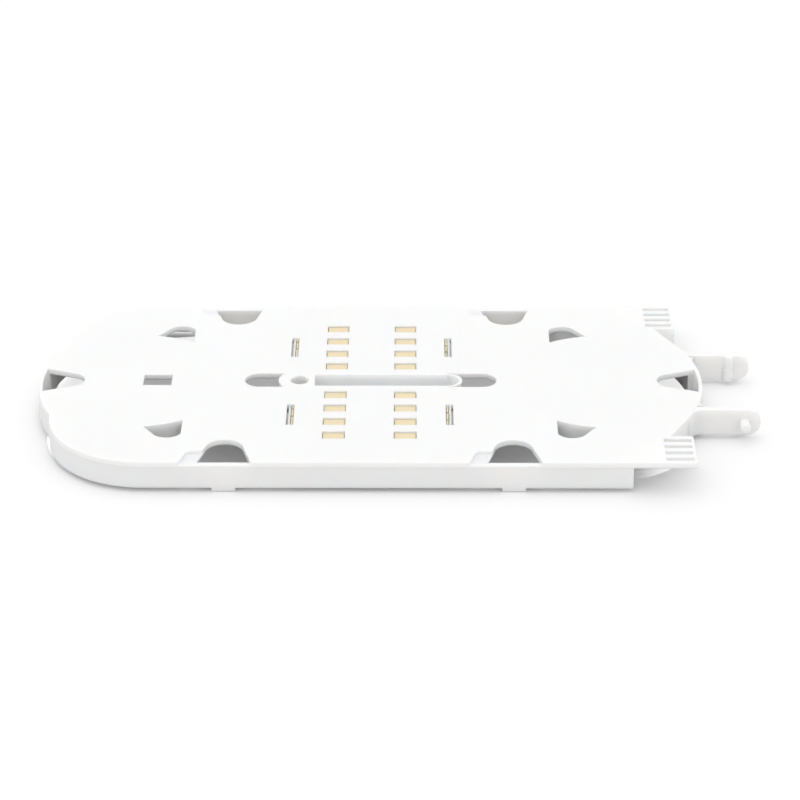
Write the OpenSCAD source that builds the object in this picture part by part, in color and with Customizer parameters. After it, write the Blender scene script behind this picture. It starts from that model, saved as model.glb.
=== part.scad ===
// Fibre splice tray: a shallow one-piece moulded tray with two clip-in splice holders.
// It stands upside down on the nubs of its rim, so its floor is on top (+Z).
// X runs from the plain end to the hinge end, Y across the tray.

/* [Floor] */
// Distance between the tips of the two round end noses
floor_length = 165.8; // [160:0.2:180]
// Width of the floor across its straight sides
floor_width = 86.4; // [84:0.2:96]
// Thickness of the floor
floor_t = 1.4; // [1.2:0.1:2.2]
// Radius of both end noses
nose_r = 42.4; // [41:0.1:44]
// Radius of the two corners beside the plain nose
corner_r = 24.5; // [20:0.5:26]
// How far those corners stop short of the nose tip
corner_setback = 4.4; // [4:0.1:6]
// Radius of the hollow between nose and corner
neck_r = 6; // [3:0.5:9]
// Inward slope of the floor's edge over its thickness
edge_taper = 0.2; // [0.05:0.05:0.3]

/* [Walls] */
// Height of the walls from the floor to the rim
wall_h = 5.5; // [5.2:0.1:9]
// Thickness of the outer wall
wall_t = 1.5; // [1.2:0.1:2]
// Step from the floor's edge back to the outer wall
wall_setback = 0.1; // [0.05:0.05:0.2]
// Distance from the middle of the tray to the hinge-side end of its long walls
side_wall_end = 63; // [58:0.5:66]
// Height of the bead inside the rim
bead_h = 1; // [0.6:0.1:1.4]
// Thickness of the bead inside the rim
bead_t = 0.25; // [0.15:0.05:0.5]
// Height of the nubs that stand out of the rim
nub_h = 1.1; // [0.8:0.1:2]
// Length of each nub along the wall
nub_l = 5.7; // [4:0.1:8]
// Chamfer along the foot of each nub
nub_chamfer = 0.25; // [0.1:0.05:0.4]

/* [Hinge end] */
// Distance from the middle of the tray to the end of the corner tabs
tab_reach = 78.3; // [77:0.1:82]
// Distance from the middle line to the inner edge of each corner tab
tab_inner = 29.3; // [28.5:0.1:30.5]
// Distance from the middle of the tray to the root of the corner tabs
tab_root = 73; // [72:0.1:75]
// Corner radius of the tabs
tab_corner_r = 1.2; // [0.6:0.1:2]
// Thickness of the round wall between the hinge arms
hinge_wall_t = 2.6; // [1.6:0.1:3.2]
// Thickness of the entry walls
entry_wall_t = 1.4; // [1:0.1:1.6]
// Length of each entry wall inward of the tab's root
entry_wall_l = 28.5; // [24:0.5:29]
// Outward lean of each entry wall over that length
entry_lean = 2.6; // [2:0.1:3.4]
// Number of tie slots in each corner tab
tie_slots = 4; // [2:1:4]
// Length of each tie slot
tie_slot_l = 6.6; // [5:0.1:7]
// Width of each tie slot
tie_slot_w = 1.5; // [1:0.1:1.8]
// Distance between neighbouring tie slots
tie_slot_pitch = 3.13; // [2.6:0.01:3.2]
// Material between the tie slots and the tab's end
tie_slot_margin = 0.9; // [0.6:0.1:1.5]

/* [Hinge arms] */
// Distance from the middle of the tray to the tips of the arms
arm_reach = 96; // [92:0.5:104]
// Clear width between the two arms
arm_gap = 27.9; // [24:0.1:32]
// Thickness of each arm
arm_t = 1.95; // [1.6:0.05:2.6]
// Step from the floor's outer face down to the arms
arm_drop = 0.1; // [0:0.05:0.6]
// Radius of the fillets at the arms' roots
arm_fillet = 2; // [1:0.1:3]
// Diameter of the hinge pins
pin_d = 2.6; // [2:0.1:3.2]
// Length of each hinge pin
pin_l = 3.4; // [2:0.1:5]
// Chamfer at the pin's end
pin_chamfer = 0.3; // [0.1:0.05:0.5]
// Distance from the arm's tip back to the pin's axis
pin_setback = 4; // [3.4:0.1:5]
// Radius of the half-round stop rib on each arm's inner face
rib_r = 1.2; // [0.8:0.05:1.5]
// Distance from the arm's tip back to the rib's axis
rib_setback = 5.2; // [5:0.1:7]
// Step at mid-height, where the rim half of rib and tip is thicker
split_step = 0.15; // [0.05:0.05:0.3]

/* [Retention tabs and their openings] */
// Thickness of the tabs at the rim
tab_t = 1; // [0.6:0.1:1.4]
// Draw clearance between a tab and the opening in the floor above it
tab_gap = 0.15; // [0.1:0.05:0.4]
// Distance from the middle of the tray to the side openings and nubs
side_x = 34.65; // [33:0.1:36]
// Width of a side opening at the wall
side_open_w = 12.6; // [10:0.1:14]
// Reach of a side opening inward from the wall
side_open_reach = 10; // [8:0.1:10.2]
// Radius of the round head of a side opening
side_head_r = 4.7; // [3.6:0.1:5]
// Depth of the step in the floor beside each side opening
recess_t = 0.8; // [0.4:0.1:0.9]
// Reach of that step towards the plain end
recess_lead = 11; // [9:0.1:12]
// Reach of that step inward from the floor's edge
recess_in = 6.2; // [4:0.1:7]
// Slant of that step's leading side
recess_slant = 1.6; // [0.5:0.1:2.5]
// Width of a nose opening at the wall
nose_open_w = 12.2; // [9:0.1:14]
// Material left between a nose opening and the nose tip
nose_open_margin = 1.1; // [0.8:0.1:2]
// Reach of a nose opening inward from there
nose_open_reach = 10.3; // [8:0.1:12]
// Radius of the round head of a nose opening
nose_head_r = 3.6; // [2.4:0.1:4]
// Distance from the middle of the tray to the centre of a bend guide
guide_x = 58.7; // [57:0.1:60]
// Radius of the bend guides
guide_r = 25.1; // [24.6:0.1:25.6]
// Thickness of the bend guides
guide_t = 1.2; // [0.8:0.1:1.6]
// Angle of a bend guide's outer end at its centre
guide_from = 94; // [91:1:97]
// Angle of a bend guide's inner end at its centre
guide_to = 126; // [122:1:130]
// Distance from the middle of the tray to the straight edge of a fin
fin_x = 45.6; // [45.2:0.1:46]
// Distance from the straight edge to the pointed tip of a fin
fin_l = 9.4; // [8.6:0.1:9.8]
// Radius of the round back of a fin
fin_r = 3.8; // [3.4:0.1:4]
// Distance from the straight edge to the centre of the round back
fin_back = 3.4; // [3:0.1:3.6]
// Distance from the middle line to the top of the round back
fin_top = 30.6; // [30:0.1:30.8]
// Length of the window near the plain end
window_l = 7; // [5:0.1:9]
// Width of the window near the plain end
window_w = 5.6; // [4.4:0.1:7]
// Distance from the middle of the tray to that window
window_x = 53.2; // [48:0.1:58]

/* [Spine] */
// Length of the middle slot
slot_l = 62.8; // [56:0.1:68]
// Width of the middle slot
slot_w = 7.26; // [6.4:0.02:8]
// Wall of the hollow spine in the slot
spine_t = 0.6; // [0.5:0.05:1]
// Wall at the round end of the spine
spine_end_t = 0.85; // [0.6:0.05:1.4]
// Distance from the middle of the tray to the round end of the spine
spine_end = 22.9; // [19:0.1:26]
// Distance from the middle of the tray to the flat end of the hollow
spine_start = 14; // [13.6:0.1:14.6]
// Floor of the spine at the rim
spine_floor_t = 1.2; // [0.8:0.1:1.6]
// Distance from the middle of the tray to the screw boss
boss_x = 17.75; // [17.5:0.05:18]
// Diameter of the screw boss
boss_d = 10.6; // [9:0.1:10.8]
// Diameter of the screw hole
boss_bore_d = 4.5; // [3:0.1:5]

/* [Splice holders] */
// Distance from the middle line to the middle of each holder
holder_y = 18.45; // [18.2:0.05:18.8]
// Length of a holder's base
holder_l = 36.6; // [34:0.1:37]
// Thickness of a holder's base
base_t = 0.9; // [0.7:0.1:1]
// Corner radius of a holder's base
base_corner_r = 6; // [5:0.5:8]
// Number of channels for splice sleeves in each holder
channels = 4; // [2:1:4]
// Distance between neighbouring channels
channel_pitch = 7.07; // [6.9:0.01:7.2]
// Clear width of each channel
channel_w = 4.9; // [4.6:0.05:5]
// Thickness of the fingers
finger_t = 0.8; // [0.6:0.05:0.9]
// Number of fingers along each side of a channel
fingers = 3; // [1:1:4]
// Gap between neighbouring fingers along a channel
finger_split = 2; // [1:0.1:3]
// Clearance between the screw boss and the nearest finger
boss_gap = 0.3; // [0.15:0.05:0.6]
// Step from the rim back to the fingers' tips
finger_drop = 0.3; // [0.1:0.1:1]
// Overhang of the lips on the fingers' tips
lip_t = 0.25; // [0.15:0.05:0.3]
// Height of those lips
lip_h = 0.9; // [0.6:0.1:1.2]
// Distance from the middle of the tray to each column of pegs
peg_x = 8.65; // [7:0.05:11]
// Length of each peg window in the floor
peg_window_l = 5.5; // [4.5:0.1:6]
// Width of each peg window in the floor
peg_window_w = 3.8; // [3:0.1:4.4]
// Clearance between a peg and its window
peg_gap = 0.15; // [0.1:0.05:0.3]
// Step from the floor's outer face down to the pegs
peg_drop = 0.45; // [0.2:0.05:0.8]

/* [Latches] */
// Distance from the middle of the tray to the middle of each latch slot
latch_x = 19.5; // [19.4:0.05:19.7]
// Width of each latch slot
latch_w = 1.8; // [1.6:0.05:2]
// Length of each latch slot
latch_l = 10.9; // [9:0.1:12]
// Thickness of the spring bar in a latch slot
latch_bar_t = 0.55; // [0.45:0.05:0.6]
// Relief behind the spring bar, which lets it flex
latch_relief = 0.45; // [0.3:0.05:0.55]
// Step from the floor's outer face down to the spring bar
latch_bar_drop = 0.5; // [0.3:0.05:0.7]
// Depth of the spring bar below the floor
latch_bar_h = 2.6; // [2.2:0.1:3.2]
// Overlap of the spring bar's hook over the holder
latch_hook = 0.25; // [0.15:0.05:0.35]
// Height of the hook
latch_hook_h = 0.8; // [0.5:0.1:1]
// Clearance between latch and holder
latch_gap = 0.15; // [0.1:0.05:0.2]
// Thickness of the lip that the holder raises into a latch slot
tongue_t = 0.5; // [0.35:0.05:0.6]
// Step from the floor's outer face down to that lip
tongue_drop = 0.5; // [0.3:0.05:0.8]
// Width of the two notches in each lip
notch_w = 0.9; // [0.5:0.1:1.2]
// Distance between the two notches
notch_pitch = 3.8; // [2.5:0.1:4.2]
// Offset of the notches from the lip's middle at the plain end
notch_shift_plain = 2; // [0:0.1:2.4]
// Offset of the notches from the lip's middle at the hinge end
notch_shift_hinge = 0.2; // [0:0.1:2.4]

/* [Hidden] */
$fn = 96;

tray_colour = "white";
holder_colour = "wheat";

// Overlap that fuses two shapes of one moulding, run-out of a cutting shape,
// and how far a straight side runs into the round that it ends in
weld = 0.3;
runout = 5;
run_in = 0.05;

nose_tip = floor_length / 2;
half_w = floor_width / 2;
nose_cx = nose_tip - nose_r;
corner_c = [-(nose_tip - corner_setback - corner_r), half_w - corner_r];
plain_nose_c = [-nose_cx, 0];
hinge_nose_c = [nose_cx, 0];

rim_z = nub_h;
floor_z = rim_z + wall_h;
top_z = floor_z + floor_t;
arm_top_z = top_z - arm_drop;
arm_h = arm_top_z - rim_z;
arm_mid_z = rim_z + arm_h / 2;
arm_in = arm_gap / 2;
arm_out = arm_in + arm_t;
holder_half_w = (channels - 1) * channel_pitch / 2 + channel_w / 2 + finger_t;
base_z = floor_z - base_t;
holder_in_y = holder_y - holder_half_w;
finger_end = boss_x - sqrt(max(0, (boss_d / 2 + boss_gap) ^ 2 - holder_in_y ^ 2));
finger_l = (2 * finger_end - (fingers - 1) * finger_split) / fingers;
outer_wall_y = half_w - wall_setback;
inner_wall_y = outer_wall_y - wall_t;
wall_depth = wall_setback + wall_t;

// The row's origin lies below the middle of the whole tray, arms included
centre_shift = (arm_reach - nose_tip) / 2;

// Point at the distance d from the origin in the direction a
function polar(d, a) = [d * cos(a), d * sin(a)];

// Point where the tangent from p touches the circle of centre c and radius r
function tangent_point(c, r, p, side) =
    let (v = p - c)
    c + polar(r, atan2(v.y, v.x) + side * acos(r / norm(v)));

// Centre of the circle of radius r that touches two circles from outside, left of the line c1 to c2
function touching_centre(c1, r1, c2, r2, r) =
    let (
        gap = norm(c2 - c1),
        along = ((r1 + r) ^ 2 - (r2 + r) ^ 2 + gap ^ 2) / (2 * gap),
        u = (c2 - c1) / gap
    )
    c1 + u * along + [-u.y, u.x] * sqrt((r1 + r) ^ 2 - along ^ 2);

// Corners of a strip from p to q, t thick to the left of that line
function strip(p, q, t) =
    let (u = (q - p) / norm(q - p), n = [-u.y, u.x] * t)
    [p, q, q + n, p + n];

neck_c = touching_centre(corner_c, corner_r, plain_nose_c, nose_r, neck_r);
tab_root_p = [tab_root, tab_inner];
slant_p = tangent_point(hinge_nose_c, nose_r, tab_root_p, -1);
entry_end_p = [tab_root - entry_wall_l, tab_inner + entry_lean];
side_head_c = [0, inner_wall_y - side_open_reach + side_head_r];

// Both copies of a shape that repeats across the middle line
module both_sides() {
    children();
    mirror([0, 1, 0]) children();
}

// Both copies of a shape that repeats at the two ends
module both_ends() {
    children();
    mirror([1, 0, 0]) children();
}

// Plate h thick whose underside lies at z
module slab(z, h) {
    translate([0, 0, z]) linear_extrude(h) children();
}

// ---- outlines ----

// Plain end and long sides of the tray, moved inward by d
module body_plan(d) {
    intersection() {
        union() {
            translate(plain_nose_c) circle(nose_r - d);
            both_sides() difference() {
                union() {
                    translate(corner_c) circle(corner_r - d);
                    polygon([corner_c, neck_c, plain_nose_c]);
                }
                translate(neck_c) circle(neck_r + d);
            }
            translate([corner_c.x, -half_w + d])
                square([side_wall_end - corner_c.x, floor_width - 2 * d]);
        }
        translate([-nose_tip, -half_w + d]) square([2 * nose_tip, floor_width - 2 * d]);
    }
}

// Round wall at the hinge end with its two slanted flanks
module hinge_wall_plan() {
    slant_angle = atan2(slant_p.y, slant_p.x - nose_cx);
    intersection() {
        translate(hinge_nose_c) difference() {
            circle(nose_r);
            circle(nose_r - hinge_wall_t);
        }
        polygon([
            hinge_nose_c,
            hinge_nose_c + polar(2 * nose_r, -slant_angle),
            hinge_nose_c + polar(2 * nose_r, slant_angle)
        ]);
    }
    lap = (tab_root_p - slant_p) / norm(tab_root_p - slant_p) * entry_wall_t;
    both_sides() polygon(strip(slant_p, tab_root_p + lap, hinge_wall_t));
}

// Entry wall below the inner edge of a corner tab and its leaning continuation
module entry_wall_plan() {
    polygon(strip(
        [tab_reach, tab_inner + entry_wall_t], [tab_root - weld, tab_inner + entry_wall_t], entry_wall_t
    ));
    leaning = strip(tab_root_p + [0, entry_wall_t], entry_end_p + [0, entry_wall_t], entry_wall_t);
    polygon(leaning);
    translate((leaning[1] + leaning[2]) / 2) circle(entry_wall_t / 2);
}

// Round-headed opening beside the long wall, drawn smaller by d and reaching into the wall by lap
module side_opening(d = 0, lap = 0) {
    head_r = side_head_r - d;
    foot = [side_open_w / 2 - d, inner_wall_y];
    touch = tangent_point(side_head_c, head_r - run_in, foot, -1);
    far = foot + (foot - touch) / norm(foot - touch) * lap;
    translate(side_head_c) circle(head_r);
    polygon([far, touch, [-touch.x, touch.y], [-far.x, far.y]]);
}

// Step in the floor from a side opening to the tray's edge, in line with the opening's far side
module side_recess() {
    head_y = half_w - recess_in;
    lead = recess_lead - recess_slant;
    round_r = recess_slant;
    foot = [side_open_w / 2, inner_wall_y];
    touch = tangent_point(side_head_c, side_head_r - run_in, foot, -1);
    translate([-lead + round_r, head_y + round_r]) circle(round_r);
    polygon([
        [-recess_lead - recess_slant, half_w + runout],
        [-lead, head_y + round_r],
        [-lead + round_r, head_y],
        [0, head_y],
        foot,
        foot + (foot - touch) / norm(foot - touch) * runout
    ]);
}

// Opening inside a nose, drawn smaller by d and ending at the distance margin from the nose's edge
module nose_opening(d = 0, margin = nose_open_margin) {
    edge_r = nose_r - nose_open_margin;
    head_r = nose_head_r - d;
    head_c = [nose_tip - nose_open_margin - nose_open_reach + nose_head_r, 0];
    foot_y = nose_open_w / 2 - d;
    foot = [nose_cx + sqrt(edge_r ^ 2 - foot_y ^ 2), foot_y];
    touch = tangent_point(head_c, head_r - run_in, foot, 1);
    far = foot + (foot - touch) / norm(foot - touch) * runout;
    translate(head_c) circle(head_r);
    intersection() {
        translate(hinge_nose_c) circle(nose_r - margin);
        polygon([far, touch, [touch.x, -touch.y], [far.x, -far.y]]);
    }
}

// Shark-fin shape on the outside of a bend guide, drawn smaller by d, and rooted by the depth root
module fin(d = 0, root = 0) {
    back_c = [fin_x + fin_back, fin_top - fin_r];
    tip_x = fin_x + fin_l - 2 * d;
    tip = [tip_x, sqrt(guide_r ^ 2 - (guide_x - tip_x) ^ 2)];
    touch = tangent_point(back_c, fin_r - d - run_in, tip, 1);
    far = tip + (tip - touch) / norm(tip - touch) * runout;
    low_y = guide_r / 2;
    difference() {
        intersection() {
            union() {
                translate(back_c) circle(fin_r - d);
                polygon([
                    [fin_x, low_y], [fin_x, back_c.y], back_c, touch, far, [far.x, low_y]
                ]);
            }
            translate([fin_x + d, 0]) square([nose_tip, half_w]);
        }
        translate([guide_x, 0]) circle(guide_r - root);
    }
}

// Curved guide wall that carries a fin
module bend_guide_plan() {
    far = 2 * guide_r;
    intersection() {
        translate([guide_x, 0]) difference() {
            circle(guide_r);
            circle(guide_r - guide_t);
        }
        polygon([
            [guide_x, 0],
            [guide_x, 0] + polar(far, guide_from),
            [guide_x, 0] + polar(far, (guide_from + guide_to) / 2),
            [guide_x, 0] + polar(far, guide_to)
        ]);
    }
}

// Straight slot with round ends between x0 and x1, w wide
module slot_plan(x0, x1, w) {
    for (x = [x0 + w / 2, x1 - w / 2]) translate([x, 0]) circle(d = w);
    translate([x0 + w / 2, -w / 2]) square([x1 - x0 - w, w]);
}

// Body of the spine, flat towards the boss and round at its other end
module spine_plan() {
    translate([-spine_start - weld, -slot_w / 2]) square([spine_end + spine_start + weld - slot_w / 2, slot_w]);
    translate([spine_end - slot_w / 2, 0]) circle(d = slot_w);
}

// Hollow of the spine
module spine_hollow_plan() {
    hollow_w = slot_w - 2 * spine_t;
    hollow_end = spine_end - spine_end_t;
    translate([-spine_start, -hollow_w / 2]) square([hollow_end + spine_start - hollow_w / 2, hollow_w]);
    translate([hollow_end - hollow_w / 2, 0]) circle(d = hollow_w);
}

module boss_plan() {
    translate([-boss_x, 0]) circle(d = boss_d);
}

// Tie slots of one corner tab
module tie_slots_plan() {
    middle_y = (tab_inner + half_w) / 2;
    for (i = [0 : tie_slots - 1])
        translate([
            tab_reach - tie_slot_margin - tie_slot_l,
            middle_y + (i - (tie_slots - 1) / 2) * tie_slot_pitch - tie_slot_w / 2
        ])
            square([tie_slot_l, tie_slot_w]);
}

// Places of the pegs of one holder about the holder's middle
module at_pegs() {
    for (x = [-peg_x, peg_x])
        for (i = [0 : channels - 1])
            translate([x, (i - (channels - 1) / 2) * channel_pitch]) children();
}

// ---- floor ----

// Round part of the floor, with its sloping edge
module floor_disc(c, r) {
    translate([c.x, c.y, floor_z]) cylinder(h = floor_t, r1 = r, r2 = r - edge_taper);
}

// Section of a part of the floor between a and b, sloping on both sides
function floor_section(a, b) =
    [[a, floor_z], [b, floor_z], [b - edge_taper, top_z], [a + edge_taper, top_z]];

// Rectangular part of the floor whose edges along X slope
module floor_along_x(x0, x1, y0, y1) {
    translate([x0, 0, 0]) rotate([90, 0, 90]) linear_extrude(x1 - x0) polygon(floor_section(y0, y1));
}

// Rectangular part of the floor whose edges along Y slope
module floor_along_y(x0, x1, y0, y1) {
    translate([0, y1, 0]) rotate([90, 0, 0]) linear_extrude(y1 - y0) polygon(floor_section(x0, x1));
}

// Corner tab of the floor with its two round corners
module floor_tab() {
    r = tab_corner_r;
    floor_along_y(side_wall_end - runout, tab_reach, tab_inner + r, half_w - r);
    floor_along_x(side_wall_end - runout, tab_reach - r, tab_inner, half_w);
    for (y = [tab_inner + r, half_w - r]) floor_disc([tab_reach - r, y], r);
}

// Part of the floor between a tab's root and the hinge nose, with its sloping slanted edge
module floor_flank() {
    flank = tab_root_p - slant_p;
    section = [[0, floor_z], [-runout, floor_z], [-runout, top_z], [-edge_taper, top_z]];
    intersection() {
        translate([slant_p.x, slant_p.y, 0])
            rotate([0, 0, atan2(flank.y, flank.x)])
                rotate([90, 0, 90])
                    linear_extrude(norm(flank) + runout) polygon([for (p = section) [-p.x, p.y]]);
        slab(floor_z, floor_t) square([nose_tip, tab_inner + weld]);
    }
}

module floor_blank() {
    intersection() {
        union() {
            floor_along_x(corner_c.x, side_wall_end, -half_w, half_w);
            floor_disc(plain_nose_c, nose_r);
            floor_disc(hinge_nose_c, nose_r);
            both_sides() {
                floor_disc(corner_c, corner_r);
                floor_tab();
                floor_flank();
                difference() {
                    slab(floor_z, floor_t) polygon([corner_c, neck_c, plain_nose_c]);
                    translate([neck_c.x, neck_c.y, floor_z])
                        cylinder(h = floor_t, r1 = neck_r, r2 = neck_r + edge_taper);
                }
            }
        }
        floor_along_x(-nose_tip, nose_tip, -half_w, half_w);
    }
}

// ---- hinge arms ----

module arm_fillets_plan() {
    r = arm_fillet;
    reach_out = nose_cx + sqrt((nose_r + r) ^ 2 - (arm_out + r) ^ 2);
    reach_in = nose_cx + sqrt((nose_r + r) ^ 2 - (arm_in - r) ^ 2);
    difference() {
        polygon([hinge_nose_c, [reach_out, arm_out], [reach_out, arm_out + r]]);
        translate([reach_out, arm_out + r]) circle(r);
        translate(hinge_nose_c) circle(nose_r - hinge_wall_t / 2);
    }
    difference() {
        polygon([hinge_nose_c, [reach_in, arm_in - r], [reach_in, arm_in]]);
        translate([reach_in, arm_in - r]) circle(r);
        translate(hinge_nose_c) circle(nose_r - hinge_wall_t / 2);
    }
}

// Side view of an arm with its full-round tip, from x0 outward
module arm_side(x0) {
    r = arm_h / 2;
    translate([arm_reach - r, arm_mid_z]) circle(r);
    translate([x0, rim_z]) square([arm_reach - r - x0, arm_h]);
}

// Arm at the positive side with its pin and rib
module hinge_arm() {
    root_x = nose_cx + sqrt((nose_r - hinge_wall_t / 2) ^ 2 - arm_out ^ 2);
    rib_x = arm_reach - rib_setback;
    translate([0, arm_out, 0]) rotate([90, 0, 0]) linear_extrude(arm_t) arm_side(root_x);
    slab(rim_z, arm_h) arm_fillets_plan();
    translate([rib_x, arm_in, rim_z]) cylinder(h = arm_h, r = rib_r);
    translate([rib_x, arm_in, rim_z]) cylinder(h = arm_h / 2, r = rib_r + split_step);
    intersection() {
        translate([0, arm_out, 0]) rotate([90, 0, 0]) linear_extrude(arm_t + split_step) arm_side(rib_x);
        translate([rib_x, arm_in - split_step, rim_z]) cube([rib_setback, arm_t, arm_h / 2]);
    }
    translate([arm_reach - pin_setback, arm_out, arm_mid_z]) rotate([-90, 0, 0]) {
        translate([0, 0, -weld]) cylinder(h = pin_l - pin_chamfer + weld, d = pin_d);
        translate([0, 0, pin_l - pin_chamfer])
            cylinder(h = pin_chamfer, d1 = pin_d, d2 = pin_d - 2 * pin_chamfer);
    }
}

// ---- tray ----

// Nub below the rim with a chamfer along both sides of its foot
module nub() {
    section = [
        [inner_wall_y, rim_z + weld],
        [outer_wall_y, rim_z + weld],
        [outer_wall_y, nub_chamfer],
        [outer_wall_y - nub_chamfer, 0],
        [inner_wall_y + nub_chamfer, 0],
        [inner_wall_y, nub_chamfer]
    ];
    translate([side_x - nub_l / 2, 0, 0]) rotate([90, 0, 90]) linear_extrude(nub_l) polygon(section);
}

// Spring bar in a latch slot, with the hook that holds the splice holder's end
module latch() {
    bar_out = latch_x + latch_w / 2 - latch_relief;
    bar_in = bar_out - latch_bar_t;
    bar_l = latch_l + 2 * weld;
    foot_z = floor_z - latch_bar_h;
    hook_z = base_z - latch_gap;
    translate([bar_in, holder_y - bar_l / 2, foot_z])
        cube([latch_bar_t, bar_l, top_z - latch_bar_drop - foot_z]);
    translate([0, holder_y + latch_l / 2, 0]) rotate([90, 0, 0]) linear_extrude(latch_l)
        polygon([
            [bar_in + weld, hook_z],
            [bar_in - latch_gap - latch_hook, hook_z],
            [bar_in, hook_z - latch_hook_h],
            [bar_in + weld, hook_z - latch_hook_h]
        ]);
}

// Outer wall between two depths inward of the tray's edge, open at the hinge end
module wall_plan(outer, inner) {
    difference() {
        body_plan(outer);
        body_plan(inner);
        translate([side_wall_end - runout, inner - half_w]) square([2 * runout, floor_width - 2 * inner]);
    }
}

module walls() {
    slab(rim_z, wall_h) wall_plan(wall_setback, wall_depth);
    slab(rim_z, bead_h) wall_plan(wall_depth - weld, wall_depth + bead_t);
    slab(rim_z, wall_h) hinge_wall_plan();
    both_sides() {
        slab(rim_z, wall_h) entry_wall_plan();
        both_ends() slab(rim_z, wall_h) bend_guide_plan();
    }
}

module retention_tabs() {
    slab(rim_z, tab_t) both_ends() {
        nose_opening(tab_gap, weld);
        both_sides() {
            fin(tab_gap, weld);
            translate([side_x, 0]) side_opening(tab_gap, weld);
        }
    }
}

module tray() {
    color(tray_colour) translate([-centre_shift, 0, 0]) difference() {
        union() {
            difference() {
                floor_blank();
                slab(floor_z - runout, floor_t + 2 * runout) {
                    difference() {
                        slot_plan(-slot_l / 2, slot_l / 2, slot_w);
                        spine_plan();
                        boss_plan();
                    }
                    translate([-window_x - window_l / 2, -window_w / 2]) square([window_l, window_w]);
                    both_sides() {
                        both_ends() fin();
                        both_ends() translate([side_x, 0]) side_opening();
                        tie_slots_plan();
                        translate([0, holder_y]) {
                            at_pegs() square([peg_window_l, peg_window_w], center = true);
                            both_ends() translate([latch_x, 0]) square([latch_w, latch_l], center = true);
                        }
                    }
                }
            }
            walls();
            retention_tabs();
            slab(rim_z, top_z - rim_z) {
                spine_plan();
                boss_plan();
            }
            both_sides() {
                hinge_arm();
                both_ends() {
                    nub();
                    latch();
                }
            }
        }
        slab(top_z - recess_t, runout) both_sides()
            for (x = [-side_x, side_x]) translate([x, 0]) side_recess();
        slab(rim_z + tab_t, wall_h + floor_t + runout) both_ends() nose_opening();
        slab(rim_z + spine_floor_t, wall_h + floor_t + runout) spine_hollow_plan();
        translate([-boss_x, 0, rim_z - runout]) cylinder(h = wall_h + floor_t + 2 * runout, d = boss_bore_d);
    }
}

// ---- splice holders ----

// Base of a holder with rounded corners
module holder_base_plan() {
    r = base_corner_r;
    x = holder_l / 2 - r;
    y = holder_half_w - r;
    for (sx = [-x, x]) for (sy = [-y, y]) translate([sx, sy]) circle(r);
    square([holder_l, 2 * y], center = true);
    square([2 * x, 2 * holder_half_w], center = true);
}

// Finger at the positive side of a channel, with a lip over the channel
module finger() {
    tip_z = rim_z + finger_drop;
    face_y = channel_w / 2;
    rotate([90, 0, 90]) translate([0, 0, -finger_l / 2]) linear_extrude(finger_l)
        polygon([
            [face_y, base_z + weld],
            [face_y, tip_z + lip_h],
            [face_y - lip_t, tip_z + lip_h / 2],
            [face_y, tip_z],
            [face_y + finger_t, tip_z],
            [face_y + finger_t, base_z + weld]
        ]);
}

// End lip that reaches into a latch slot, with its two notches moved by the given shift
module tongue(shift) {
    tip_x = latch_x + latch_w / 2 - latch_relief - latch_bar_t - latch_gap;
    lip_w = latch_l - 2 * latch_gap;
    difference() {
        union() {
            translate([holder_l / 2 - weld, -lip_w / 2, base_z])
                cube([tip_x - holder_l / 2 + weld, lip_w, base_t]);
            translate([tip_x - tongue_t, -lip_w / 2, base_z])
                cube([tongue_t, lip_w, top_z - tongue_drop - base_z]);
        }
        for (i = [-1, 1])
            translate([tip_x - tongue_t - runout, shift + i * notch_pitch / 2 - notch_w / 2, floor_z])
                cube([2 * runout, notch_w, floor_t]);
    }
}

module splice_holder() {
    color(holder_colour) {
        slab(base_z, base_t) holder_base_plan();
        slab(base_z, top_z - peg_drop - base_z) at_pegs()
            square([peg_window_l - 2 * peg_gap, peg_window_w - 2 * peg_gap], center = true);
        for (i = [0 : channels - 1]) translate([0, (i - (channels - 1) / 2) * channel_pitch, 0])
            for (k = [0 : fingers - 1]) translate([(k - (fingers - 1) / 2) * (finger_l + finger_split), 0, 0])
                both_sides() finger();
        tongue(notch_shift_hinge);
        mirror([1, 0, 0]) tongue(notch_shift_plain);
    }
}

module splice_holder_front() {
    translate([-centre_shift, -holder_y, 0]) splice_holder();
}

module splice_holder_rear() {
    translate([-centre_shift, holder_y, 0]) splice_holder();
}

tray();
splice_holder_front();
splice_holder_rear();
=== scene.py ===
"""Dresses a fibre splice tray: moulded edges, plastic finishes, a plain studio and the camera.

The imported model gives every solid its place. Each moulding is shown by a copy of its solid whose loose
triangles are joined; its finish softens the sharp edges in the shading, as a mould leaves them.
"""
import logging
import math
from dataclasses import dataclass
from enum import Enum

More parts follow.
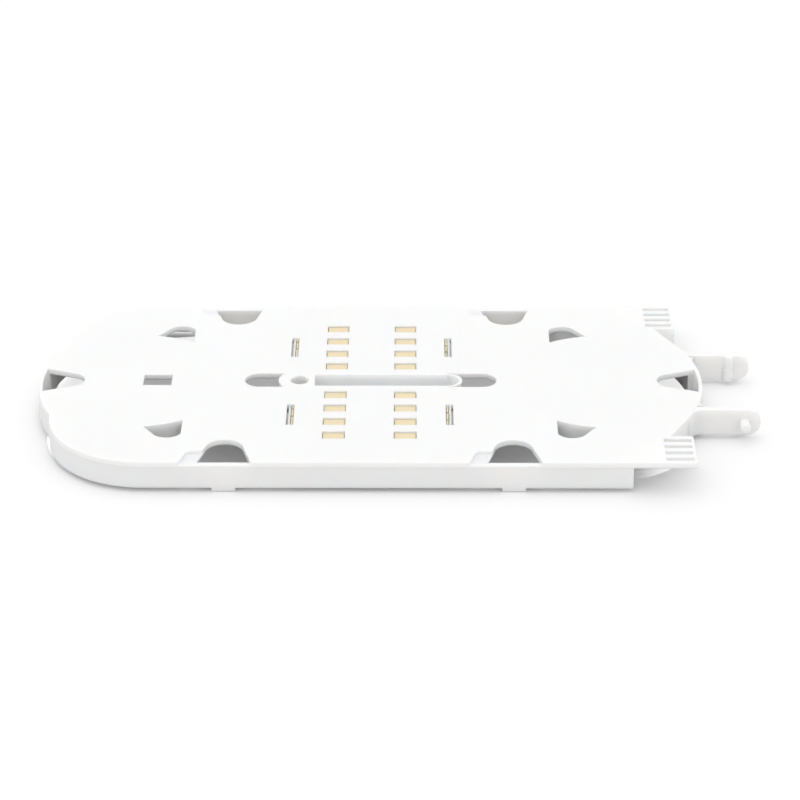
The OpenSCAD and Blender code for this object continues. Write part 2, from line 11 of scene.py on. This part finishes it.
import bmesh
import bpy
import numpy as np
from mathutils import Euler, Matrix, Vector


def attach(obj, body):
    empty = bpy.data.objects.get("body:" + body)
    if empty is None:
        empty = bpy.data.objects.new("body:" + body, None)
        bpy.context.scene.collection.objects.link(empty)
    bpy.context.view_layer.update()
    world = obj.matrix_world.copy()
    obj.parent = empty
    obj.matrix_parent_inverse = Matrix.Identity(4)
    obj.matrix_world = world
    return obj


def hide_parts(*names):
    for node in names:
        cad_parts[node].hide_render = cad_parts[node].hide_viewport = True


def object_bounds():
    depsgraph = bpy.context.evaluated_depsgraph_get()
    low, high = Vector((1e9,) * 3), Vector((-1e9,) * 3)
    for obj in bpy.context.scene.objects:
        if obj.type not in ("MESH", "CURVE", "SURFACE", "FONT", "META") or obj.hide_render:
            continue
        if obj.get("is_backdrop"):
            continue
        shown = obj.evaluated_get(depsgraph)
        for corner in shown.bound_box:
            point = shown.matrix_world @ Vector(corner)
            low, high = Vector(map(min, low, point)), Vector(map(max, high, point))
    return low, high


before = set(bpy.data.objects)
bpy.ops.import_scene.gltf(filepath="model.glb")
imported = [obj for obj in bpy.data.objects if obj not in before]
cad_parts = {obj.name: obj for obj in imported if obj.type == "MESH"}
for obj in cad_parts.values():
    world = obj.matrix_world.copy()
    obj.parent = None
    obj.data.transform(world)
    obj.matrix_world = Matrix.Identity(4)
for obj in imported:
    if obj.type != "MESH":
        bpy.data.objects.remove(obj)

LOG = logging.getLogger("splice_tray")
MM = 0.001
ROOT_BODY = "root"


class Grain(Enum):
    """Surface that the mould gives to a plastic."""

    SATIN = "satin"
    EVEN = "even"


@dataclass(frozen=True)
class Plastic:
    """Finish of a moulded plastic, with its grain and its slight unevenness.

    Lengths are in metres. The colour drifts across the part between the shade and the colour.
    """

    name: str
    slot: str
    colour: tuple[float, float, float]
    shade: tuple[float, float, float]
    roughness: float
    roughness_drift: float
    grain: Grain
    grain_size: float
    grain_height: float
    flow_size: float
    flow_height: float
    subsurface: float
    scatter_depth: float
    edge_radius: float = 0.14 * MM
    edge_samples: int = 6

    def material(self) -> bpy.types.Material:
        """Builds the node material.

        Returns:
            A material whose patterns all read Object coordinates.
        """
        made = bpy.data.materials.new(self.name)
        made.use_nodes = True
        tree = made.node_tree
        shader = tree.nodes["Principled BSDF"]
        shader.inputs["IOR"].default_value = 1.53
        shader.inputs["Subsurface Weight"].default_value = self.subsurface
        shader.inputs["Subsurface Scale"].default_value = self.scatter_depth
        shader.inputs["Subsurface Radius"].default_value = (1.0, 0.9, 0.8)
        place = tree.nodes.new("ShaderNodeTexCoord")
        flow = self._noise(tree, place, 1 / self.flow_size, 3)
        grain = self._noise(tree, place, 1 / self.grain_size, 2)
        self._tint(tree, flow, shader)
        self._gloss(tree, grain, shader)
        self._relief(tree, flow, grain, shader)
        return made

    def _noise(
        self, tree: bpy.types.NodeTree, place: bpy.types.Node, scale: float, detail: float
    ) -> bpy.types.Node:
        """Adds a noise pattern on Object coordinates.

        Args:
            tree: Node tree of the material.
            place: Texture coordinate node.
            scale: Cells of the pattern in one metre.
            detail: Number of finer layers in the pattern.

        Returns:
            The noise node.
        """
        noise = tree.nodes.new("ShaderNodeTexNoise")
        noise.inputs["Scale"].default_value = scale
        noise.inputs["Detail"].default_value = detail
        tree.links.new(place.outputs["Object"], noise.inputs["Vector"])
        return noise

    def _tint(self, tree: bpy.types.NodeTree, flow: bpy.types.Node, shader: bpy.types.Node) -> None:
        """Lets the colour drift between its two shades with the flow pattern."""
        mix = tree.nodes.new("ShaderNodeMix")
        mix.data_type = "RGBA"
        mix.inputs["A"].default_value = (*self.shade, 1.0)
        mix.inputs["B"].default_value = (*self.colour, 1.0)
        tree.links.new(flow.outputs["Fac"], mix.inputs["Factor"])
        tree.links.new(mix.outputs["Result"], shader.inputs["Base Color"])

    def _gloss(self, tree: bpy.types.NodeTree, grain: bpy.types.Node, shader: bpy.types.Node) -> None:
        """Lets the roughness drift with the grain."""
        spread = tree.nodes.new("ShaderNodeMapRange")
        spread.inputs["To Min"].default_value = self.roughness - self.roughness_drift
        spread.inputs["To Max"].default_value = self.roughness + self.roughness_drift
        tree.links.new(grain.outputs["Fac"], spread.inputs["Value"])
        tree.links.new(spread.outputs["Result"], shader.inputs["Roughness"])

    def _relief(
        self,
        tree: bpy.types.NodeTree,
        flow: bpy.types.Node,
        grain: bpy.types.Node,
        shader: bpy.types.Node,
    ) -> None:
        """Adds soft edges, the waviness of the moulding and, on a satin finish, its fine grain."""
        soft = tree.nodes.new("ShaderNodeBevel")
        soft.samples = self.edge_samples
        soft.inputs["Radius"].default_value = self.edge_radius
        wave = tree.nodes.new("ShaderNodeBump")
        tree.links.new(soft.outputs["Normal"], wave.inputs["Normal"])
        wave.inputs["Distance"].default_value = self.flow_height
        tree.links.new(flow.outputs["Fac"], wave.inputs["Height"])
        last = wave
        if self.grain is Grain.SATIN:
            fine = tree.nodes.new("ShaderNodeBump")
            fine.inputs["Distance"].default_value = self.grain_height
            tree.links.new(grain.outputs["Fac"], fine.inputs["Height"])
            tree.links.new(wave.outputs["Normal"], fine.inputs["Normal"])
            last = fine
        tree.links.new(last.outputs["Normal"], shader.inputs["Normal"])


@dataclass
class Moulding:
    """One moulded piece: a joined copy of its solid, with its finish.
    """

    node: str
    finish: Plastic
    border_radius: float = 0.0
    border_steps: int = 4
    sharp_deg: float = 28.0
    join_distance: float = 0.001 * MM

    def joined_mesh(self) -> bpy.types.Mesh:
        """Joins the solid's loose triangles.

        Corners that round to the same place on a fine lattice become one vertex, and
        triangles that lose a corner by it are dropped.

        Returns:
            The joined mesh.
        """
        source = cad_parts[self.node].data
        corners = np.empty(len(source.vertices) * 3, np.float32)
        source.vertices.foreach_get("co", corners)
        source.calc_loop_triangles()
        faces = np.empty(len(source.loop_triangles) * 3, np.int32)
        source.loop_triangles.foreach_get("vertices", faces)
        lattice = np.round(corners.reshape(-1, 3) / self.join_distance).astype(np.int64)
        _, first, index = np.unique(lattice, axis=0, return_index=True, return_inverse=True)
        faces = index.reshape(-1)[faces].reshape(-1, 3)
        whole = (
            (faces[:, 0] != faces[:, 1]) & (faces[:, 1] != faces[:, 2]) & (faces[:, 2] != faces[:, 0])
        )
        mesh = bpy.data.meshes.new(f"{self.node}_moulding")
        mesh.from_pydata(corners.reshape(-1, 3)[first].tolist(), [], faces[whole].tolist())
        return mesh

    def build(self) -> bpy.types.Object:
        """Makes the piece and puts it in place of its solid.

        Returns:
            The finished piece.
        """
        mesh = self.joined_mesh()
        mesh.polygons.foreach_set("use_smooth", np.ones(len(mesh.polygons), bool))
        mesh.set_sharp_from_angle(angle=math.radians(self.sharp_deg))
        piece = bpy.data.objects.new(f"{self.node}_moulding", mesh)
        bpy.context.scene.collection.objects.link(piece)
        mesh.materials.append(self.finish.material())
        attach(piece, ROOT_BODY)
        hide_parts(self.node)
        LOG.info("%s: %d faces", piece.name, len(mesh.polygons))
        return piece


@dataclass
class Lamp:
    """Soft rectangular lamp that faces a point."""

    name: str
    place: tuple[float, float, float]
    target: tuple[float, float, float]
    size: tuple[float, float]
    power: float

    def build(self) -> None:
        """Adds the lamp."""
        data = bpy.data.lights.new(self.name, "AREA")
        data.shape = "RECTANGLE"
        data.size, data.size_y = self.size
        data.energy = self.power
        lamp = bpy.data.objects.new(self.name, data)
        bpy.context.scene.collection.objects.link(lamp)
        lamp.location = self.place
        aim = Vector(self.target) - Vector(self.place)
        lamp.rotation_euler = aim.to_track_quat("-Z", "Y").to_euler()


@dataclass
class Studio:
    """Pale floor with its white surroundings, lamps and camera."""

    floor_radius: float = 3.0
    floor_rings: int = 24
    floor_spokes: int = 96
    floor_colour: float = 0.87
    floor_bounce: float = 0.72
    floor_lift: float = 0.1
    # painted light: how strongly the paper below the tray glows for the camera, where the ground lies in
    # the tray's shade
    painted_light_middle: float = 0.24
    painted_light_ends_and_corner: float = 0.36
    world_light: float = 1.0
    lens_mm: float = 132.3
    sensor_mm: float = 36.0
    aim: tuple[float, float, float] = (0.8 * MM, -10.8 * MM, 8.0 * MM)
    distance: float = 725.3 * MM
    pitch_deg: float = 27.43
    turn_deg: float = 0.183

    def floor(self) -> None:
        """Makes the floor: a disc on a grid of radius and angle, level with the tray's feet."""
        radius = np.linspace(0.0, 1.0, self.floor_rings + 1)[1:] ** 2 * self.floor_radius
        angle = np.arange(self.floor_spokes) * 2 * np.pi / self.floor_spokes
        ring, spoke = np.meshgrid(radius, angle, indexing="ij")
        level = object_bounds()[0].z
        grid = np.stack([ring * np.cos(spoke), ring * np.sin(spoke), np.full_like(ring, level)], axis=-1)
        points = np.concatenate([[[0.0, 0.0, level]], grid.reshape(-1, 3)])
        spokes = np.arange(self.floor_spokes)
        after = (spokes + 1) % self.floor_spokes
        centre = np.stack([np.zeros_like(spokes), 1 + spokes, 1 + after], axis=1)
        inner = 1 + np.arange(self.floor_rings - 1)[:, None] * self.floor_spokes
        outer = inner + self.floor_spokes
        quads = np.stack([inner + spokes, outer + spokes, outer + after, inner + after], axis=-1)
        mesh = bpy.data.meshes.new("studio_floor")
        mesh.from_pydata(points.tolist(), [], centre.tolist() + quads.reshape(-1, 4).tolist())
        mesh.materials.append(self._floor_material())
        floor = bpy.data.objects.new("studio_floor", mesh)
        bpy.context.scene.collection.objects.link(floor)
        floor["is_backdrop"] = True

    def _floor_material(self) -> bpy.types.Material:
        """Builds a matt pale paper that reads as white to the camera and keeps shadows outside the tray;
        below the tray it glows for the camera, painted light over ground that lies in the tray's shade.
        """
        made = bpy.data.materials.new("pale_paper")
        made.use_nodes = True
        tree = made.node_tree
        tree.nodes.clear()
        paper = tree.nodes.new("ShaderNodeBsdfDiffuse")
        tone = tree.nodes.new("ShaderNodeMapRange")
        tone.inputs["To Min"].default_value = self.floor_bounce
        tone.inputs["To Max"].default_value = self.floor_colour
        glow = tree.nodes.new("ShaderNodeEmission")
        rays = tree.nodes.new("ShaderNodeLightPath")
        lift = tree.nodes.new("ShaderNodeMath")
        lift.operation = "MULTIPLY"
        # the emission carries the even lift and the painted light below the tray
        tree.links.new(self._even_lift_and_painted_light_below_tray(tree), lift.inputs[1])
        both = tree.nodes.new("ShaderNodeAddShader")
        output = tree.nodes.new("ShaderNodeOutputMaterial")
        tree.links.new(rays.outputs["Is Camera Ray"], tone.inputs["Value"])
        tree.links.new(tone.outputs["Result"], paper.inputs["Color"])
        tree.links.new(rays.outputs["Is Camera Ray"], lift.inputs[0])
        tree.links.new(lift.outputs["Value"], glow.inputs["Strength"])
        tree.links.new(paper.outputs["BSDF"], both.inputs[0])
        tree.links.new(glow.outputs["Emission"], both.inputs[1])
        tree.links.new(both.outputs["Shader"], output.inputs["Surface"])
        return made

    def _math(self, tree: bpy.types.NodeTree, kind: str, *terms: object) -> bpy.types.NodeSocket:
        """Adds one step of arithmetic.

        Args:
            tree: Node tree of the material.
            kind: Operation of the math node.
            terms: Sockets or numbers that it works on.

        Returns:
            The socket with the result.
        """
        step = tree.nodes.new("ShaderNodeMath")
        step.operation = kind
        for place, term in zip(step.inputs, terms):
            if isinstance(term, bpy.types.NodeSocket):
                tree.links.new(term, place)
            else:
                place.default_value = term
        return step.outputs["Value"]

    def _ramp(
        self, tree: bpy.types.NodeTree, value: bpy.types.NodeSocket, start: float, end: float
    ) -> bpy.types.NodeSocket:
        """Rises smoothly from 0 at the start to 1 at the end."""
        ramp = tree.nodes.new("ShaderNodeMapRange")
        ramp.interpolation_type = "SMOOTHSTEP"
        ramp.inputs["From Min"].default_value = start
        ramp.inputs["From Max"].default_value = end
        tree.links.new(value, ramp.inputs["Value"])
        return ramp.outputs["Result"]

    def _even_lift_and_painted_light_below_tray(self, tree: bpy.types.NodeTree) -> bpy.types.NodeSocket:
        """Gives the paper's glow for camera rays: an even lift outside, and below the tray painted light
        on the shaded ground, rising towards the back, the round ends and the back left corner.

        Args:
            tree: Node tree of the paper.

        Returns:
            The socket with the even lift and the painted light below the tray.
        """
        place = tree.nodes.new("ShaderNodeTexCoord")
        axes = tree.nodes.new("ShaderNodeSeparateXYZ")
        tree.links.new(place.outputs["Object"], axes.inputs["Vector"])
        along = self._math(tree, "ADD", axes.outputs["X"], 6.55 * MM)
        reach = self._math(tree, "ABSOLUTE", along)
        across = axes.outputs["Y"]
        far_x = self._math(tree, "POWER", self._math(tree, "DIVIDE", reach, 80 * MM), 4.0)
        width = self._math(tree, "ABSOLUTE", self._math(tree, "DIVIDE", across, 42 * MM))
        inside = self._math(
            tree, "LESS_THAN", self._math(tree, "ADD", far_x, self._math(tree, "POWER", width, 4.0)), 1.0
        )
        # painted light: the shaded ground below the tray glows more towards the back
        middle = self._math(
            tree, "MULTIPLY", self._ramp(tree, across, -26 * MM, 2 * MM), self.painted_light_middle
        )
        # painted light: the shaded ground glows more below the round ends and below the back left corner
        ends = self._math(tree, "MULTIPLY", self._ramp(tree, reach, 62 * MM, 72 * MM), self.painted_light_ends_and_corner)
        corner = self._math(tree, "SUBTRACT", across, self._math(tree, "MULTIPLY", along, 0.3))
        back = self._math(tree, "MULTIPLY", self._ramp(tree, corner, 44 * MM, 52 * MM), self.painted_light_ends_and_corner)
        # sum of the painted light below the tray, added to the even lift only inside the tray's outline
        below = self._math(tree, "ADD", middle, self._math(tree, "ADD", ends, back))
        return self._math(tree, "MULTIPLY_ADD", inside, below, self.floor_lift)

    def world(self) -> None:
        """Lights the scene evenly all round, and shows white behind the floor."""
        world = bpy.data.worlds.new("studio")
        bpy.context.scene.world = world
        world.use_nodes = True
        tree = world.node_tree
        background = tree.nodes["Background"]
        background.inputs["Color"].default_value = (1.0, 1.0, 1.0, 1.0)
        rays = tree.nodes.new("ShaderNodeLightPath")
        level = tree.nodes.new("ShaderNodeMapRange")
        level.inputs["To Min"].default_value = self.world_light
        level.inputs["To Max"].default_value = 1.0
        tree.links.new(rays.outputs["Is Camera Ray"], level.inputs["Value"])
        tree.links.new(level.outputs["Result"], background.inputs["Strength"])

    def lamps(self) -> None:
        """Hangs the soft lamps."""
        for lamp in (
            Lamp("overhead_softbox", (-0.15, 0.1, 0.75), (0.0, 0.0, 0.0), (0.7, 0.5), 0.5),
        ):
            lamp.build()

    def camera(self) -> None:
        """Puts the camera at its distance from the aim point, turned and pitched down."""
        data = bpy.data.cameras.new("camera")
        data.lens = self.lens_mm
        data.sensor_width = self.sensor_mm
        camera = bpy.data.objects.new("camera", data)
        bpy.context.scene.collection.objects.link(camera)
        camera.rotation_euler = Euler(
            (math.radians(90 - self.pitch_deg), 0.0, math.radians(self.turn_deg))
        )
        backward = camera.rotation_euler.to_matrix() @ Vector((0.0, 0.0, 1.0))
        camera.location = Vector(self.aim) + backward * self.distance
        bpy.context.scene.camera = camera

    def build(self) -> None:
        """Sets up the whole studio."""
        self.camera()
        self.floor()
        self.world()
        self.lamps()
        bpy.context.scene.view_settings.view_transform = "Standard"
        LOG.info("studio ready")


WHITE = Plastic(
    name="white_satin_plastic",
    slot="tray_plastic",
    colour=(0.93, 0.93, 0.925),
    shade=(0.9, 0.9, 0.895),
    roughness=0.42,
    roughness_drift=0.05,
    grain=Grain.SATIN,
    grain_size=0.22 * MM,
    grain_height=0.004 * MM,
    flow_size=24 * MM,
    flow_height=0.05 * MM,
    subsurface=1.0,
    scatter_depth=1.2 * MM,
)
BEIGE = Plastic(
    name="beige_plastic",
    slot="holder_plastic",
    colour=(0.87, 0.74, 0.5),
    shade=(0.84, 0.7, 0.46),
    roughness=0.45,
    roughness_drift=0.05,
    grain=Grain.EVEN,
    grain_size=0.3 * MM,
    grain_height=0.0,
    flow_size=12 * MM,
    flow_height=0.03 * MM,
    subsurface=0.8,
    scatter_depth=1.0 * MM,
)


def corners(box: tuple[Vector, Vector]) -> list[list[float]]:
    """Gives a box's two corners as plain numbers."""
    return [list(corner) for corner in box]


def main() -> None:
    """Builds every piece in order."""
    logging.basicConfig(level=logging.INFO, format="%(name)s: %(message)s")
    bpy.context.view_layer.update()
    Studio().build()
    for moulding in (
        Moulding("tray", WHITE),
        Moulding("splice_holder_front", BEIGE),
        Moulding("splice_holder_rear", BEIGE),
    ):
        moulding.build()


if __name__ == "__main__":
    main()
